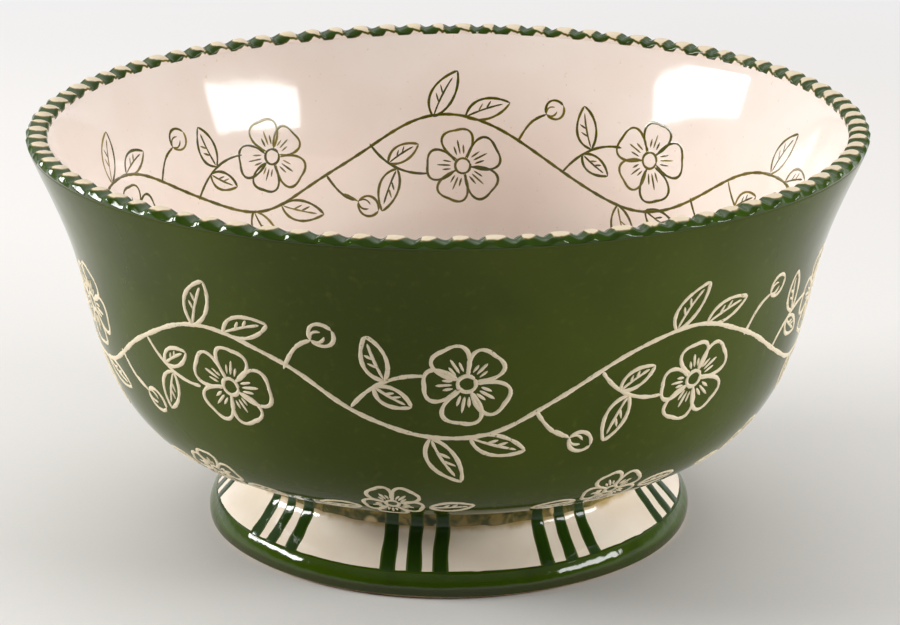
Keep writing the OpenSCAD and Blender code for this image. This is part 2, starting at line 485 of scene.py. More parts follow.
class Paint(Nodes):
    """A node material with one glossy or matte shader, built up from named layers."""

    def __init__(self, name, ior=1.45):
        self.material = bpy.data.materials.new(name)
        self.material.use_nodes = True
        super().__init__(self.material.node_tree, "Object")
        self.shader = self.tree.nodes["Principled BSDF"]
        self.shader.inputs["IOR"].default_value = ior

    def noise(self, size_mm, detail=2.0, warp=0.0):
        """Soft noise with features of a given size."""
        made = self.node("ShaderNodeTexNoise")
        self.feed(self.where, made.inputs["Vector"])
        made.inputs["Scale"].default_value = 1/(size_mm*MM)
        made.inputs["Detail"].default_value = detail
        made.inputs["Distortion"].default_value = warp
        return made.outputs["Fac"]

    def cells(self, size_mm):
        """Distance to scattered points, for dots and specks."""
        made = self.node("ShaderNodeTexVoronoi")
        self.feed(self.where, made.inputs["Vector"])
        made.inputs["Scale"].default_value = 1/(size_mm*MM)
        return made.outputs["Distance"]

    def vertex(self, label):
        """A mesh attribute by its name."""
        return self.node("ShaderNodeAttribute", attribute_name=label).outputs["Fac"]

    def step(self, value, low, high):
        """0 at low, 1 at high, smooth between; low may be the larger."""
        if low < high:
            return self.ramp(value, low, high, 0.0, 1.0, "SMOOTHSTEP")
        return self.ramp(value, high, low, 1.0, 0.0, "SMOOTHSTEP")

    def mix(self, factor, a, b):
        """Colour that goes from a to b with a factor."""
        made = self.node("ShaderNodeMix", data_type="RGBA")
        self.feed(factor, made.inputs["Factor"])
        self.feed(a, made.inputs["A"])
        self.feed(b, made.inputs["B"])
        return made.outputs["Result"]

    def lerp(self, factor, low, high):
        """Number that goes from low to high with a factor."""
        return self.ramp(factor, 0.0, 1.0, low, high)

    def bump(self, *layers):
        """Raises the surface by pairs of height factor and depth in millimetres."""
        normal = None
        for height, depth_mm in layers:
            made = self.node("ShaderNodeBump")
            made.inputs["Distance"].default_value = depth_mm*MM
            self.feed(height, made.inputs["Height"])
            if normal is not None:
                self.feed(normal, made.inputs["Normal"])
            normal = made.outputs["Normal"]
        self.feed(normal, self.shader.inputs["Normal"])

    def finish(self, colour, roughness):
        """Sets the last two inputs and hands the material over."""
        self.feed(colour, self.shader.inputs["Base Color"])
        self.feed(roughness, self.shader.inputs["Roughness"])
        return self.material


def clay_paint():
    """Bare fired clay, cloudy and gritty."""
    p = Paint("bare_clay")
    cloud = p.noise(9, 4)
    grit = p.noise(0.8, 2)
    body = p.mix(p.step(cloud, 0.35, 0.65), srgb(160, 132, 96), srgb(186, 162, 126))
    body = p.mix(p.step(grit, 0.6, 0.75), body, srgb(120, 94, 64))
    p.bump((grit, 0.12), (cloud, 0.2))
    return p.finish(body, p.lerp(grit, 0.75, 0.95))


def wall_green(p):
    """Olive green with soft clouds and a fine mottle."""
    cloud = p.noise(45, 2, 0.4)
    mottle = p.noise(3, 3)
    colour = p.mix(p.step(cloud, 0.3, 0.7), srgb(51, 62, 2), srgb(59, 70, 5))
    return p.mix(p.step(mottle, 0.55, 0.85), colour, srgb(67, 76, 11))


def green_paint():
    """Green glaze of the outside."""
    p = Paint("green_glaze", 1.24)
    colour = wall_green(p)
    p.bump((p.noise(16, 1), 0.10), (p.noise(2.6, 1), 0.008))
    return p.finish(colour, p.lerp(p.noise(12, 2), 0.09, 0.14))


def cream_gloss(p, colour):
    """Surface of the cream coat: slow waviness and an even gloss."""
    p.bump((p.noise(14, 1), 0.10), (p.noise(2.8, 1), 0.010))
    return p.finish(colour, p.lerp(p.noise(10, 2), 0.06, 0.11))


def cream_paint():
    """Cream glaze of the inside, with pale clouds and a few tan flecks."""
    p = Paint("cream_glaze")
    cloud = p.noise(30, 3)
    fleck = p.noise(1.4, 2)
    colour = p.mix(p.step(cloud, 0.3, 0.7), srgb(245, 230, 219), srgb(248, 236, 226))
    colour = p.mix(p.step(fleck, 0.68, 0.8), colour, srgb(228, 207, 184))
    return cream_gloss(p, colour)


def foot_cream_paint():
    """Cream on the foot, warmer than the inside, and stained amber next to the seam."""
    p = Paint("foot_cream")
    cloud = p.noise(16, 3)
    colour = p.mix(p.step(cloud, 0.3, 0.7), srgb(234, 217, 196), srgb(241, 228, 210))
    height = p.combine(p.axis("Z"), p.lerp(p.noise(5, 3), -1.3*MM, 1.3*MM))
    stain = p.step(height, (FACE_SEAM_Z - 1.8)*MM, (FACE_SEAM_Z + 0.6)*MM)
    colour = p.mix(stain, colour, srgb(176, 150, 96))
    p.bump((p.noise(5, 1), 0.10), (p.noise(2.6, 1), 0.012))
    return p.finish(colour, p.lerp(p.noise(10, 2), 0.06, 0.11))


def band_paint():
    """Foot band: painted light splits it at its crease, brighter green on the face that leans back
    towards the light and darker olive on the upright edge.
    """
    p = Paint("band_glaze", 1.42)
    # Painted light: the face above the crease is painted brighter than the upright edge below it
    upper = p.combine(p.axis("Z"), p.lerp(p.noise(9, 2), -0.9*MM, 0.9*MM))
    upper = p.step(upper, (EDGE_H + 0.4)*MM, (EDGE_H + 1.8)*MM)
    colour = p.mix(upper, srgb(50, 56, 20), srgb(52, 72, 3))
    colour = p.mix(p.step(p.noise(14, 2), 0.45, 0.75), colour, srgb(42, 57, 4))
    p.bump((p.noise(4.5, 1), 0.16), (p.noise(2.0, 1), 0.02))
    return p.finish(colour, p.lerp(p.noise(8, 2), 0.06, 0.1))


def stripe_paint():
    """Dark green brush stripes, paler where the glaze thins at their edges."""
    p = Paint("stripe_glaze", 1.36)
    thick = p.step(p.vertex("across"), 1.0, 0.6)
    colour = p.mix(p.noise(5, 2), srgb(26, 48, 8), srgb(38, 62, 12))
    colour = p.mix(thick, srgb(84, 94, 40), colour)
    p.bump((p.noise(4.5, 1), 0.14), (p.noise(2.2, 1), 0.02))
    return p.finish(colour, p.lerp(p.noise(8, 2), 0.06, 0.1))


def seam_paint():
    """Glaze pooled in the seam: olive and amber runs, cream dots and dark green places."""
    p = Paint("seam_glaze", 1.38)
    runs = p.noise(5, 3, 0.8)
    colour = p.mix(p.step(runs, 0.38, 0.62), srgb(72, 74, 26), srgb(140, 120, 62))
    colour = p.mix(p.step(p.noise(9, 2), 0.54, 0.66), colour, srgb(44, 54, 14))
    colour = p.mix(p.step(p.cells(9), 0.30, 0.16), colour, srgb(206, 180, 128))
    p.bump((p.noise(4, 2), 0.25))
    return p.finish(colour, p.lerp(p.noise(6, 2), 0.08, 0.16))


def rope_paint():
    """Green glaze, thick in the notches, that breaks to tan on the pads and ends on cream inside."""
    p = Paint("rope_glaze", 1.35)
    amber = srgb(132, 112, 44)
    fray = p.lerp(p.noise(1.6, 3), -0.22, 0.22)
    worn = p.combine(p.vertex("crest"), fray)
    inside = p.combine(p.vertex("green"), fray)
    green = p.mix(p.noise(6, 2), srgb(34, 56, 2), srgb(54, 78, 8))
    height = p.axis("Z")
    # Painted shade: a thin dark line along the crease where the rope meets the wall
    crease = p.step(height, (BEVEL_Z + 0.1)*MM, (BEVEL_Z - 0.1)*MM)
    green = p.mix(crease, green, srgb(34, 42, 2))
    below = p.step(height, (BEVEL_Z - 0.1)*MM, (BEVEL_Z - 0.4)*MM)
    green = p.mix(below, green, wall_green(p))
    tan = p.mix(p.noise(2.5, 2), srgb(216, 197, 162), srgb(230, 213, 184))
    colour = p.mix(p.step(inside, 0.25, -0.15), green, amber)
    colour = p.mix(p.step(inside, -0.1, -0.35), colour, srgb(246, 233, 222))
    colour = p.mix(p.step(worn, -0.12, 0.14), colour, amber)
    colour = p.mix(p.step(worn, 0.08, 0.3), colour, tan)
    p.bump((p.noise(3.0, 1), 0.02))
    return p.finish(colour, p.lerp(p.step(worn, 0.0, 0.3), 0.1, 0.28))


def outer_line_paint():
    """Bare cream lines on the green, drawn by hand, with green left in specks and at the edges."""
    p = Paint("cream_line")
    cloud = p.noise(6, 3)
    colour = p.mix(cloud, srgb(206, 191, 160), srgb(222, 209, 182))
    speck = p.step(p.noise(0.9, 3), 0.62, 0.72)
    patch = p.step(p.noise(8, 1), 0.42, 0.58)
    colour = p.mix(p.combine(speck, patch, "MULTIPLY"), colour, srgb(116, 112, 62))
    edge = p.combine(p.vertex("across"), p.lerp(p.noise(0.8, 2), -0.35, 0.35))
    colour = p.mix(p.step(edge, 0.84, 1.1), colour, srgb(92, 92, 48))
    p.bump((p.noise(0.7, 2), 0.05))
    return p.finish(colour, p.lerp(cloud, 0.28, 0.42))


def inner_line_paint():
    """Green brush lines under the gloss, olive and amber where they are thin."""
    p = Paint("green_line")
    thin = p.combine(p.vertex("across"), p.lerp(p.noise(9, 2), -0.5, 0.5))
    thin = p.combine(thin, p.vertex("tone"))
    dark = p.mix(p.noise(4, 2), srgb(62, 66, 10), srgb(84, 82, 22))
    colour = p.mix(p.step(thin, 0.15, 0.7), dark, srgb(118, 106, 38))
    colour = p.mix(p.step(thin, 0.7, 1.25), colour, srgb(186, 164, 104))
    return cream_gloss(p, colour)


# Glaze coats
def make_coats(paints):
    """Coats outside, inside and on the face of the foot, which runs on a little under the seam."""
    outer = revolved("outer_coat", OUTER, COAT_TURNS, np.linspace(0, OUTER.length, 150))
    place(outer, paints["green"], "green_glaze", "outer_glaze")
    liner = revolved("liner_coat", LINER, COAT_TURNS, np.linspace(0, LINER.length, 180))
    place(liner, paints["cream"], "cream_glaze", "liner_glaze")
    seam_v = FACE.at_height(FACE_SEAM_Z)
    face = revolved("foot_coat", FACE, COAT_TURNS, np.linspace(0, seam_v + UNDER_SEAM, 40))
    place(face, paints["foot_cream"], "cream_glaze", "foot_glaze")


def ripple(theta, seed, turns, count=14):
    """Wavering line round the axis, between about -1 and 1."""
    draw = seeded(seed)
    total = np.zeros_like(theta)
    for _ in range(count):
        total += np.cos(draw.integers(3, turns)*theta + draw.uniform(0, 2*math.pi))
    return total/count**0.5


def make_band(paints):
    """Green band round the base, with a wavering upper edge."""
    theta = np.linspace(0, 2*math.pi, EDGE_TURNS, endpoint=False)
    share = np.linspace(0, 1, 44)
    reach = BAND.length + BAND_WAVER*ripple(theta, BAND_SEED, 60)
    v = np.minimum(share[None, :]*reach[:, None], BAND.length)
    band = revolved("foot_band_coat", BAND, EDGE_TURNS, v)
    place(band, paints["band"], "green_glaze", "foot_band")


def make_seam(paints):
    """Glaze pooled in the seam, a little proud of the coats it joins, with a wavering lower edge."""
    theta = np.linspace(0, 2*math.pi, EDGE_TURNS, endpoint=False)
    low = FACE.at_height(FACE_SEAM_Z) + SEAM_WAVER*ripple(theta, SEAM_SEED, 50)
    share = np.linspace(0, 1, 30)
    v = low[:, None] + share*(FACE.length - low[:, None])
    lift = SEAM_RISE*np.minimum(1, share*8) - SEAM_SINK
    seam = revolved("seam_coat", FACE, EDGE_TURNS, v, lift)
    place(seam, paints["seam"], "seam_glaze", "slip_seam")


# Rope rim
def notch_directions():
    """Directions of the notches round the rim, spaced by hand."""
    draw = seeded(NOTCH_SEED)
    pitch = 2*math.pi/NOTCHES
    return (np.arange(NOTCHES) + draw.uniform(-NOTCH_JITTER, NOTCH_JITTER, NOTCHES))*pitch


def smooth_min(a, b, blend):
    """The lower of two heights, with a soft corner where they cross."""
    share = np.clip(0.5 + 0.5*(b - a)/blend, 0, 1)
    return b + (a - b)*share - blend*share*(1 - share)


def crest_height(across):
    """Height of the domed crest; across runs from -1 inside to 1 outside."""
    return BOWL_H - DOME*np.abs(across)**DOME_POWER


def crest_way(across):
    """Distance over the crest from its middle in millimetres; inside is positive."""
    grid = np.linspace(-1, 1, 401)
    step = np.hypot(np.diff(grid)*ROPE_W/2, np.diff(crest_height(grid)))
    run = np.concatenate([[0], np.cumsum(step)])
    return np.interp(0, grid, run) - np.interp(across, grid, run)


def groove_shift(way):
    """Sideways run of a notch in millimetres, to the same side on both flanks."""
    outside = LEAN_OUT*np.maximum(0, -way)
    inside = LEAN_IN*np.maximum(0, way)
    hook = HOOK_LEAN*np.maximum(0, way - HOOK_START)
    return -outside - inside - hook


def groove_floor(theta, across, way):
    """Height of the nearest notch over each point of the rim, and the distance from its middle."""
    draw = seeded(DEPTH_SEED)
    deep = NOTCH_DEPTH*draw.uniform(0.88, 1.12, NOTCHES)
    twist = draw.uniform(0.75, 1.25, NOTCHES)
    radius = ROPE_R + ROPE_W/2*across
    floor = np.full(np.broadcast(theta, radius).shape, BOWL_H + NOTCH_R)
    nearest = np.full(floor.shape, np.inf)
    for direction, depth, share in zip(notch_directions(), deep, twist):
        middle = direction + share*groove_shift(way)/ROPE_R
        turn = (theta - middle + math.pi) % (2*math.pi) - math.pi
        off = np.abs(turn)*radius/np.where(turn > 0, STEEP, GENTLE)
        inside = np.minimum(off, ROUND_SHARE*NOTCH_R)
        beyond = BEYOND_SLOPE*np.maximum(0, off - inside)
        rise = NOTCH_R - np.sqrt(NOTCH_R**2 - inside**2) + beyond
        floor = np.minimum(floor, BOWL_H - depth + rise)
        nearest = np.minimum(nearest, off)
    spill = np.where(across > 0, SPILL_OUT, SPILL_IN)
    sideways = np.clip((np.abs(across) - SPILL_START)/(1 - SPILL_START), 0, 1)
    return floor - spill*sideways**2, nearest


def green_runs(theta, way):
    """How many millimetres a point lies within the green that ran in from the notches."""
    draw = seeded(RUN_SEED)
    lean = RUN_LEAN*draw.uniform(0.8, 1.2, NOTCHES)
    fall = RUN_FALL*draw.uniform(0.7, 1.15, NOTCHES)
    reach = np.zeros(np.broadcast(theta, way).shape)
    for direction, sideways, length in zip(notch_directions(), lean, fall):
        turn = (theta - direction + sideways/ROPE_R + math.pi) % (2*math.pi) - math.pi
        u = turn*ROPE_R
        share = np.where(u > 0, 1 - u/RUN_TAIL, 1 - (u/RUN_HEAD)**2)
        reach = np.maximum(reach, length*np.maximum(0, share))
    return RUN_START + reach - way


def rope_edge(edge, edge_z):
    """Outer columns of the rope, from the wall up: flank and bevel, as radius and height."""
    edge_r = ROPE_R + ROPE_W/2*edge
    low_z = (edge_r - RIM_R + BEVEL_LEAN*edge_z + FLANK_LEAN*FLANK_Z)/(BEVEL_LEAN + FLANK_LEAN)
    low_z = np.where(low_z > FLANK_Z, edge_z - (RIM_R - edge_r)/BEVEL_LEAN, low_z)
    flank_z = LIP_Z - FLANK_TUCK + (low_z - LIP_Z + FLANK_TUCK)*np.linspace(0, 1, 7)
    share = np.linspace(0, 1, 9)[1:-1]
    bevel_z = low_z + (edge_z - low_z)*share
    bevel_r = flank_radius(low_z) + (edge_r - flank_radius(low_z))*share
    r = np.concatenate([flank_radius(flank_z), bevel_r], axis=1)
    return r, np.concatenate([flank_z, bevel_z], axis=1)


def bevel_start(theta, sway):
    """Where the crest ends outside, across the rope: further in at a notch than on a pad."""
    across = NOTCH_EDGE + 0*theta
    low, away = groove_floor(theta, across, crest_way(across))
    low = smooth_min(crest_height(across) + sway, low, GLAZE_BLEND)
    notch = (flank_radius(BEVEL_Z) - BEVEL_LEAN*(low - BEVEL_Z) - ROPE_R)/(ROPE_W/2)
    grooved = np.clip((GROOVE_END - away/NOTCH_R)/GROOVE_FADE, 0, 1)
    return PAD_EDGE + (notch - PAD_EDGE)*grooved**2*(3 - 2*grooved)


def rope_crest(theta, across, sway):
    """Heights over the crest, with its notches and rounded pads."""
    floor, nearest = groove_floor(theta, across, crest_way(across))
    pad = (HALF_PITCH - nearest)/PAD_HALF
    crest = crest_height(across) + sway - PAD_ROUND*pad**2
    return smooth_min(crest, floor, GLAZE_BLEND)


def rope_inside(crest_z):
    """Inner columns of the rope, from the crest down, as radius and height."""
    share = np.linspace(0, 1, 9)
    bulge = np.interp(share, (0, 0.7, 1), (1, 1.05, 0.97))
    top_z = crest_z - INSIDE_DROP
    return ROPE_R - ROPE_W/2*bulge + 0*crest_z, top_z + (LIP_Z - INSIDE_END - top_z)*share


def rope_surface(theta):
    """Radius and height of the rope's points, softened, and their way over its crest."""
    sway = CREST_SWAY*ripple(theta, SWAY_SEED, 40) - CREST_SWAY
    edge = bevel_start(theta, sway)
    across = edge + (CREST_END - edge)*np.linspace(0, 1, 28)
    top_z = rope_crest(theta, across, sway)
    out_r, out_z = rope_edge(edge, top_z[:, :1])
    in_r, in_z = rope_inside(top_z[:, -1:])
    r = np.concatenate([out_r, ROPE_R + ROPE_W/2*across, in_r], axis=1)
    outline = np.stack([r, np.concatenate([out_z, top_z, in_z], axis=1)])
    for _ in range(ROUND_PASSES):
        outline = (np.roll(outline, 1, axis=1) + 2*outline + np.roll(outline, -1, axis=1))/4
    r, z = softened(outline.transpose(2, 0, 1), ACROSS_PASSES).transpose(1, 2, 0)
    step_r = np.diff(r, axis=1, prepend=r[:, :1])
    step_z = np.diff(z, axis=1, prepend=z[:, :1])
    run = np.cumsum(np.hypot(step_r, step_z), axis=1)
    first = out_r.shape[1]
    return r, z, run - run[:, first:first + 1] + crest_way(edge)


def make_rope(paints):
    """Rolled rim with twisted notches that the glaze has softened; its pads are worn oval."""
    turns = NOTCHES*NOTCH_TURNS
    theta = np.linspace(0, 2*math.pi, turns, endpoint=False)[:, None]
    r, z, way = rope_surface(theta)
    points = np.stack([r*np.cos(theta), r*np.sin(theta), z], axis=-1)*MM
    _, nearest = groove_floor(theta, (r - ROPE_R)/(ROPE_W/2), way)
    reach = np.where(way < PAD_MIDDLE, PAD_OUT, PAD_IN)
    oval = ((HALF_PITCH - nearest)/PAD_HALF)**2 + ((way - PAD_MIDDLE)/reach)**2
    marks = {"crest": 1 - oval, "green": green_runs(theta, way)}
    faces = grid_faces(turns, r.shape[1], True)
    rope = mesh_object("rope", points.reshape(-1, 3), faces, **marks)
    place(rope, paints["rope"], "rope_glaze", "rope_rim")


# Foot stripes
def stripe_directions():
    """Three stripes to a group; the groups at the back share the room between the outer two."""
    first, last = FRONT_GROUPS[-1], FRONT_GROUPS[0] + 360
    back = np.linspace(first, last, BACK_GROUPS + 2)[1:-1]
    offsets = (np.arange(GROUP_STRIPES) - (GROUP_STRIPES - 1)/2)*STRIPE_STEP
    groups = np.concatenate([FRONT_GROUPS, back])
    return np.radians((groups[:, None] + offsets[None, :]).ravel())


def make_stripes(paints):
    """Brushed stripes from under the band's edge up over the seam."""
    draw = seeded(STRIPE_SEED)
    low = FACE.at_height(float(face_outline(BAND_T, BAND_T, 1)[0][1])) - STRIPE_UNDER
    top = FACE.at_height(FACE_SEAM_Z + STRIPE_OVER)
    along = np.linspace(0, 1, 46)
    across = np.linspace(-1, 1, 13)
    rise = STRIPE_H*np.sqrt(np.maximum(0, 1 - np.abs(across)**3)) - STRIPE_SINK
    points, faces, edges = [], [], []
    for direction in stripe_directions():
        wide = math.radians(STRIPE_DEG)/2*draw.uniform(0.9, 1.12)
        sway = np.radians(STRIPE_SWAY)*np.sin(along*draw.uniform(2, 6) + draw.uniform(0, 6.3))
        rate = draw.uniform(9, 18)
        phases = draw.uniform(0, 6.3, (1, len(across)))
        ragged = 1 + STRIPE_RAG*np.sin(along[:, None]*rate + phases)
        theta = direction + sway[:, None] + wide*ragged*across[None, :]
        v = (low + along*(top - low))[:, None]
        start = sum(len(block) for block in points)
        points.append(FACE.points(theta, v, rise).reshape(-1, 3))
        faces.append(grid_faces(len(along), len(across), False)[:, ::-1] + start)
        edges.append(np.broadcast_to(np.abs(across), theta.shape).ravel())
    points, faces, across = (np.concatenate(blocks) for blocks in (points, faces, edges))
    stripes = mesh_object("stripes", points, faces, across=across)
    place(stripes, paints["stripe"], "stripe_glaze", "foot_stripes")


# Painted vine: strokes are rows of x and y in millimetres, with a brush width
LINE = 1.3
STEM = 1.15*LINE
FINE = 0.95
# Lines inside are drawn thinner by this share
INSIDE_THIN = 0.95
# Heights of the lines over the coats outside and inside, and how deep their edges lie
OUTSIDE_RISE = 0.2
INSIDE_RISE = 0.05
LINE_SINK = 0.03
BRUSH_STEP = 0.8
PETALS = 5
BLOSSOM_R = 14
SPRIG_R = 10
BUD_R = 6.5


def bezier(*points, size=1.0):
    """A curve by its end points and handles, times a size or a length and width."""
    return cubic(np.array(points, float)*size, np.linspace(0, 1, 26))


def straight(start, end):
    return bezier(start, start, end, end)


def polar(radius, degrees):
    a = math.radians(degrees)
    return np.array([radius*math.cos(a), radius*math.sin(a)])


def circle(radius):
    """A ring whose ends overlap a little, as a brush leaves it."""
    a = np.linspace(0, 2*math.pi + 0.25, 26)
    return np.stack([radius*np.cos(a), radius*np.sin(a)], axis=1)


def blossom(size, draw):
    """Five notched petals with veins, about a ringed middle, each drawn a little differently."""
    heart = 0.19*size
    strokes = [(circle(heart), LINE)]
    for k in range(PETALS):
        a = 90 + 360/PETALS*k + 5*draw.uniform(-1, 1)
        reach = size*draw.uniform(0.92, 1.06)
        tip = polar(0.9*reach, a)
        halves = []
        for side in (-1, 1):
            root = polar(1.1*heart, a + 30*side)
            flank = polar(0.6*reach, a + 45*side)
            shoulder = polar(1.13*reach, a + 31*side)
            halves.append(bezier(root, flank, shoulder, tip))
        strokes.append((np.concatenate([halves[0], halves[1][-2::-1]]), LINE))
        for side in (-1, 0, 1):
            near = polar(1.6*heart, a + 17*side)
            far = polar((0.66 - 0.13*abs(side))*reach, a + 13*side)
            strokes.append((straight(near, far), FINE))
    return strokes


def leaf(length, width, bend):
    """Almond leaf along x that bends to one side, with a midrib and side veins."""
    size = (length, width)
    lines = []
    for side in (-1, 1):
        half = bezier((0, 0), (0.25, 0.74*side), (0.7, 0.62*side), (1, 0), size=size)
        lines.append((half, LINE))
    midrib = bezier((0.04, 0), (0.3, 0), (0.6, 0), (0.84, 0), size=size)
    lines.append((midrib, FINE))
    for share in (0.3, 0.48):
        vein = straight((share*length, 0), ((share + 0.16)*length, 0.3*width))
        lines.append((vein, FINE))
    return [(np.stack([p[:, 0], p[:, 1] + bend*(p[:, 0]/length)**2], axis=1), w) for p, w in lines]


def bud(size):
    """Closed round bud along x, in a cup of two sepals on a short stalk."""
    stalk = bezier((-0.9, 0), (-0.5, 0.1), (-0.2, 0), (0, 0), size=size)
    lines = [(stalk, LINE)]
    for side in (-1, 1):
        half = bezier((0, 0), (0.2, 0.75*side), (1, 0.62*side), (1.1, 0), size=size)
        sepal = bezier((0, 0), (0.15, 0.3*side), (0.4, 0.3*side), (0.62, 0.12*side), size=size)
        lines += [(half, LINE), (sepal, FINE)]
    return lines


def moved(strokes, turn, at=(0, 0)):
    """Strokes turned by degrees, then set down at a place."""
    a = math.radians(turn)
    spin = np.array([[math.cos(a), math.sin(a)], [-math.sin(a), math.cos(a)]])
    return [(points @ spin + at, width) for points, width in strokes]


def bay(draw, up, swing):
    """What grows in one bend of the vine: a blossom inside it, leaves and a bud outside it."""
    head = blossom(BLOSSOM_R*draw.uniform(0.95, 1.05), draw)
    strokes = moved(head, 36*draw.uniform(-1, 1), (5, -4*up))
    stalk = bezier((-27, 4.5), (-22, -3), (-15, -7), (-6.5, -6.5), size=(1, up))
    strokes.append((stalk, LINE))
    strokes += moved(leaf(15, 6.8, 2*up), -118*up, (-17.5, -4.6*up))
    strokes += moved(leaf(12, 5.6, -1.5*up), 38*up, (-20.5, -2.6*up))
    strokes += moved(leaf(18*draw.uniform(0.9, 1.1), 7.6, -3*up), 72*up, (-5, 0.98*swing*up))
    strokes += moved(leaf(15*draw.uniform(0.9, 1.1), 6.8, -2*up), 26*up, (6, 0.98*swing*up))
    stalk = bezier((24, 0.38), (27, 0.8), (29, 1), (33, 1.1), size=(1, swing*up))
    strokes.append((stalk, LINE))
    strokes += moved(bud(BUD_R*draw.uniform(0.95, 1.1)), 30*up, (34, 1.14*swing*up))
    return strokes


def vine(skin, centre, swing, bends, seed, flip):
    """A stem that winds round the wall, with what grows in each of its bends."""
    draw = seeded(seed)
    theta = np.linspace(0, 2*math.pi, 900)
    stem_v = centre + flip*swing*np.sin(bends/2*theta) + 0.5*ripple(theta, seed + 3, 40)
    strokes = [(theta, stem_v, np.full(len(theta), STEM))]
    for k in range(bends):
        middle = (k + 0.5)*2*math.pi/bends
        up = -1 if k % 2 else 1
        strokes += on_skin(skin, bay(draw, up, swing), middle, centre, flip)
    return strokes


def on_skin(skin, strokes, theta, v, flip):
    """Lays flat strokes on a skin about a place; flip is -1 where v runs downwards."""
    laid = []
    for points, width in strokes:
        line_v = v + flip*points[:, 1]
        line_theta = theta + flip*points[:, 0]/skin.radius(line_v)
        laid.append((line_theta, line_v, np.full(len(points), width)))
    return laid


def even(skin, theta, v, width):
    """A stroke at even brush steps along the surface."""
    r = skin.radius(v)
    run = np.hypot(r[:-1]*np.diff(theta), np.diff(v))
    s = np.concatenate([[0], np.cumsum(run)])
    count = max(7, int(s[-1]/BRUSH_STEP))
    at = np.linspace(0, s[-1], count)
    return np.interp(at, s, theta), np.interp(at, s, v), np.interp(at, s, width), at


# Cross-section of a brush line, as shares of half its width and of its height
ACROSS = np.array([-1.0, -0.62, 0.0, 0.62, 1.0])
SWELL = np.array([0.0, 0.8, 1.0, 0.8, 0.0])


def drawn(name, skin, strokes, height, seed):
    """One mesh of all brush lines, raised a little, ragged in width and rounded at their ends."""
    draw = seeded(seed)
    rise = height*SWELL - LINE_SINK
    points, faces, edges, tones = [], [], [], []
    start = 0
    for stroke in strokes:
        theta, v, width, s = even(skin, *stroke)
        end = np.minimum(s, s[-1] - s)
        taper = np.sqrt(np.clip(end, 0.06, 1))
        wobble = 1 + 0.13*np.sin(s*draw.uniform(0.5, 1.1) + draw.uniform(0, 6.3))
        wobble += 0.07*np.sin(s*draw.uniform(1.6, 2.6) + draw.uniform(0, 6.3))
        half = 0.5*width*taper*wobble
        r = skin.radius(v)
        along = np.stack([r*np.gradient(theta), np.gradient(v)], axis=1)
        along /= np.hypot(*along.T)[:, None] + 1e-9
        side_theta = theta[:, None] - (along[:, 1]*half/r)[:, None]*ACROSS
        side_v = v[:, None] + (along[:, 0]*half)[:, None]*ACROSS
        points.append(skin.points(side_theta, side_v, rise).reshape(-1, 3))
        faces.append(grid_faces(len(s), len(ACROSS), False) + start)
        edges.append(np.broadcast_to(np.abs(ACROSS), side_v.shape).ravel())
        tones.append(np.full(side_v.size, draw.uniform(-0.35, 0.45)))
        start += side_v.size
    marks = {"across": np.concatenate(edges), "tone": np.concatenate(tones)}
    return mesh_object(name, np.concatenate(points), np.concatenate(faces), **marks)


def low_sprigs(skin, v, count, flip, seed):
    """Small blossoms with two leaves each, between the vine and the foot."""
    draw = seeded(seed)
    strokes = []
    for k in range(count):
        sprig = moved(blossom(SPRIG_R, draw), 36*draw.uniform(-1, 1), (0, 3))
        for side in (-1, 1):
            sprig += moved(leaf(13, 5.6, 1.5*side), 90 - 96*side, (SPRIG_R*side, 0))
        theta = (k + 0.25 + draw.uniform(-0.1, 0.1))*2*math.pi/count
        strokes += on_skin(skin, moved(sprig, 10*draw.uniform(-1, 1)), theta, v, flip)
    return strokes


def make_vines(paints):
    """Cream vine and sprigs on the green outside, and a green vine inside."""
    outside = vine(OUTER, centre=72, swing=14, bends=10, seed=51, flip=1)
    outside += low_sprigs(OUTER, v=27, count=10, flip=1, seed=52)
    lines = drawn("outer_vine", OUTER, outside, OUTSIDE_RISE, seed=53)
    place(lines, paints["outer_line"], "cream_glaze")
    inside = vine(LINER, centre=42, swing=13, bends=10, seed=54, flip=-1)
    inside = [(theta, v, INSIDE_THIN*width) for theta, v, width in inside]
    lines = drawn("inner_vine", LINER, inside, INSIDE_RISE, seed=55)
    place(lines, paints["inner_line"], "stripe_glaze")


# Bare clay and the coat under the foot keep their solids
def dress_frame(paints):
    for node, paint in (("bowl_wall", "clay"), ("foot_ring", "clay"), ("well_glaze", "cream")):
        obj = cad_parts[node]
        obj.data.materials.clear()
        obj.data.materials.append(paints[paint])


# Studio in metres: camera, two softboxes, two low fill strips, pale floor and soft surroundings
CAMERA_ELEVATION = math.radians(18.62)
CAMERA_DISTANCE = 0.9138
CAMERA_AIM_Z = 0.06346
CAMERA_ROLL = math.radians(-0.122)
FOCAL_PIXELS = 2949.8
IMAGE_WIDTH = 900
PAN_PIXELS = 1.61
SENSOR = 36.0

# Lamps: direction in degrees round the bowl from +X, size as width and height, roll in degrees
LAMP_AIM_Z = 0.06
SOFTBOXES = {
    "right_softbox": dict(
        direction=-20, distance=2.0, height=0.892, size=(1.18, 0.34), roll=-9.5, radiance=17.3,
    ),
    "left_softbox": dict(
        direction=178, distance=1.6, height=0.69, size=(1.0, 0.215), roll=8, radiance=34.2,
    ),
}
# Strips far to both sides that light the foot and show in no reflection
STRIP = dict(distance=4.0, height=LAMP_AIM_Z, size=(2.8, 0.11), roll=0, shows=False)
STRIPS = {
    "right_strip": dict(direction=8, radiance=95.0),
    "left_strip": dict(direction=170, radiance=60.0),
}

# Floor: radius, points round and across it, and where it turns into the plain background
FLOOR_R = 4.0
FLOOR_SIDES = 96
FLOOR_RINGS = 40
FLOOR_NEAR = 0.45
FLOOR_FAR = 1.0

# Surroundings: tint, plain background, and levels in front, behind, high behind and overhead
SKY_TINT = srgb(250, 250, 252)
PALE = 0.92
SKY_FRONT = 0.04
SKY_BACK = 0.5
SKY_HIGH = 3.4
SKY_TOP = 0.7
